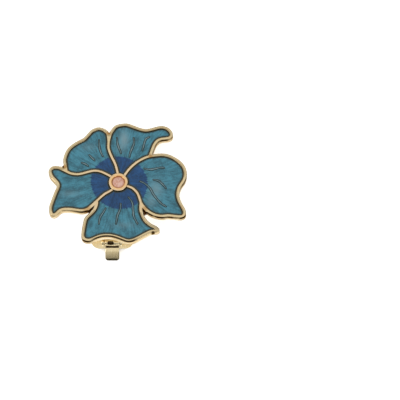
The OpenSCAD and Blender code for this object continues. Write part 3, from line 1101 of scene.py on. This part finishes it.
class EARRING_OT_centre(bpy.types.Operator):
    """Turns the coral enamel dome in the bezel"""

    bl_idname = "earring.centre"
    bl_label = "Coral Centre"

    def execute(self, context):
        bm = bmesh.new()
        arc_steps, turn_steps = 8, 64
        foot = CUP_FLOOR + FLOOR_GAP
        profile = [(0, foot), (CORAL_R, foot), (CORAL_R, DOME_EDGE)]
        for i in range(1, arc_steps + 1):
            share = i / arc_steps
            profile.append((CORAL_R * (1 - share), DOME_EDGE + DOME_RISE * math.sin(share * math.pi / 2)))
        verts = [bm.verts.new((r, 0, z)) for r, z in profile]
        edges = [bm.edges.new(pair) for pair in zip(verts, verts[1:])]
        bmesh.ops.spin(
            bm,
            geom=verts + edges,
            cent=(0, 0, 0),
            axis=(0, 0, 1),
            dvec=(0, 0, 0),
            angle=2 * math.pi,
            steps=turn_steps,
            use_merge=True,
        )
        bmesh.ops.remove_doubles(bm, verts=bm.verts, dist=0.001)
        bmesh.ops.recalc_face_normals(bm, faces=bm.faces)
        shade(bm, 40)
        finished(
            bm,
            "coral_dome",
            [material("coral_glaze", coral_glaze)],
            "flower",
            "coral_enamel",
            "centre_enamel",
        )
        return {"FINISHED"}


class EARRING_OT_pin(bpy.types.Operator):
    """Makes the hinge pin with its two peened ends"""

    bl_idname = "earring.pin"
    bl_label = "Hinge Pin"

    def execute(self, context):
        bm = cad_copy("hinge_pin")
        rounded(bm, corners(bm, 60), 0.14, 3)
        shade(bm, 40)
        piece = finished(
            bm, "peened_pin", [material("brushed_gold", brushed_gold)], "flower", "clip_metal", "hinge_pin"
        )
        flat_shading_kept(piece)
        return {"FINISHED"}


class EARRING_OT_paddle(bpy.types.Operator):
    """Softens the stamped edges of the ear paddle, its lugs and its thumb tab"""

    bl_idname = "earring.paddle"
    bl_label = "Ear Paddle"

    def execute(self, context):
        bm = cad_copy("clip_paddle")
        bmesh.ops.dissolve_degenerate(bm, dist=PADDLE_SLIVER, edges=bm.edges)
        rounded(bm, corners(bm, 50), settings().sheet_round / MM, 2)
        shade(bm, 32)
        piece = finished(
            bm, "ear_paddle", [material("brushed_gold", brushed_gold)], "paddle", "clip_metal", "clip_paddle"
        )
        flat_shading_kept(piece)
        return {"FINISHED"}


def floor_paint():
    """Matt white paper that glows a little, as on a light table, but not where the clip shades it, and with a
    painted shadow under the hinge.
    """
    material, net, shader = new_material("white_paper", Roughness=0.9)
    shader.inputs["Emission Color"].default_value = (1.0, 1.0, 1.0, 1.0)
    place = net.add("ShaderNodeTexCoord").outputs["Object"]
    low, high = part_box("clip_paddle")
    middle = (low + high) / 2
    from_clip = net.vector("DISTANCE", place, (middle.x, middle.y, 0))
    net.put(shader.inputs["Emission Strength"], net.fade(from_clip, 0.004, 0.006, 0.0, 0.6))
    paper = net.mix(net.noise(place, 900.0, 2.0), PAPER, PAPER_FIBRE)
    # Painted shadow: the gap between the barrel and the tab looks dark, so the paper under it is darkened
    off = net.vector("SUBTRACT", place, (HINGE.x, HINGE.y - 0.001, 0))
    from_gap = net.vector("LENGTH", net.vector("MULTIPLY", off, (0.35, 1, 1)))
    gap = net.fade(from_gap, 0.0009, 0.0005)
    net.put(shader.inputs["Base Color"], net.mix(gap, paper, HINGE_SHADE))
    return material


def soft_light(name, place, width, depth, power):
    """A rectangular soft light that faces the earring."""
    data = bpy.data.lights.new(name, "AREA")
    data.shape = "RECTANGLE"
    data.size, data.size_y = width, depth
    data.energy = power
    lamp = bpy.data.objects.new(name, data)
    lamp.location = place
    lamp.rotation_mode = "QUATERNION"
    lamp.rotation_quaternion = (-Vector(place)).to_track_quat("-Z", "Y")
    bpy.context.scene.collection.objects.link(lamp)


def tent():
    """A white light tent: bright overhead and behind, darker at the horizon and on the camera's side."""
    world = bpy.data.worlds.new("light_tent")
    world.use_nodes = True
    net = Net(world.node_tree)
    sky = next(n for n in net.tree.nodes if n.type == "BACKGROUND")
    _, y, z = net.split(net.add("ShaderNodeTexCoord").outputs["Generated"])
    sky.inputs["Color"].default_value = (1, 1, 1, 1)
    up = net.fade(z, 0.15, 0.8, 0.08, 0.92)
    net.put(sky.inputs["Strength"], net.math("MULTIPLY", up, net.fade(y, -0.8, -0.1, 0.35, 1.0)))
    bpy.context.scene.world = world


class EARRING_OT_stage(bpy.types.Operator):
    """Lays the pale floor, lights it softly and sets the camera at the photograph's angle"""

    bl_idname = "earring.stage"
    bl_label = "Stage"

    def execute(self, context):
        chosen = settings()
        bm = bmesh.new()
        bmesh.ops.create_grid(bm, x_segments=2, y_segments=2, size=1.5)
        mesh = bpy.data.meshes.new("floor")
        bm.to_mesh(mesh)
        bm.free()
        floor = bpy.data.objects.new("floor", mesh)
        mesh.materials.append(floor_paint())
        context.scene.collection.objects.link(floor)
        tent()
        soft_light("left_light", (-0.6, -0.1, 0.55), 0.35, 0.25, 1.2)
        soft_light("right_light", (0.5, -0.55, 0.45), 0.3, 0.3, 0.8)
        context.scene.view_settings.view_transform = "Standard"

        front = (FLOWER.to_3x3() @ Vector((0, 0, 1))).normalized()
        back = Matrix.Rotation(chosen.camera_tilt, 3, "X") @ front
        camera = bpy.data.cameras.new("camera")
        camera.lens = chosen.lens
        camera.clip_start, camera.clip_end = 0.01, 10
        eye = bpy.data.objects.new("camera", camera)
        eye.rotation_mode = "QUATERNION"
        eye.rotation_quaternion = (-back).to_track_quat("-Z", "Y")
        up = eye.rotation_quaternion @ Vector((0, 1, 0))
        width = chosen.view_width
        aim = FLOWER.translation + Vector((CENTRE_LEFT, 0, 0)) * width - up * CENTRE_OVER * width
        eye.location = aim + back * width * chosen.lens / camera.sensor_width
        context.scene.collection.objects.link(eye)
        context.scene.camera = eye
        return {"FINISHED"}


class EARRING_PT_panel(bpy.types.Panel):
    """Lists the earring's pieces and its stage in the sidebar."""

    bl_idname = "EARRING_PT_panel"
    bl_label = "Flower Earring"
    bl_space_type = "VIEW_3D"
    bl_region_type = "UI"
    bl_category = "Earring"

    def draw(self, context):
        for operator in OPERATORS:
            self.layout.operator(operator.bl_idname)
        for name in EarringSettings.__annotations__:
            self.layout.prop(context.scene.earring, name)


OPERATORS = (
    EARRING_OT_setting,
    EARRING_OT_petals,
    EARRING_OT_centre,
    EARRING_OT_pin,
    EARRING_OT_paddle,
    EARRING_OT_stage,
)
CLASSES = (EarringSettings, *OPERATORS, EARRING_PT_panel)


def register():
    for cls in CLASSES:
        bpy.utils.register_class(cls)
    bpy.types.Scene.earring = PointerProperty(type=EarringSettings)


def unregister():
    del bpy.types.Scene.earring
    for cls in reversed(CLASSES):
        bpy.utils.unregister_class(cls)


def main():
    register()
    bpy.ops.earring.setting()
    bpy.ops.earring.petals()
    bpy.ops.earring.centre()
    bpy.ops.earring.pin()
    bpy.ops.earring.paddle()
    bpy.ops.earring.stage()


if __name__ == "__main__":
    main()
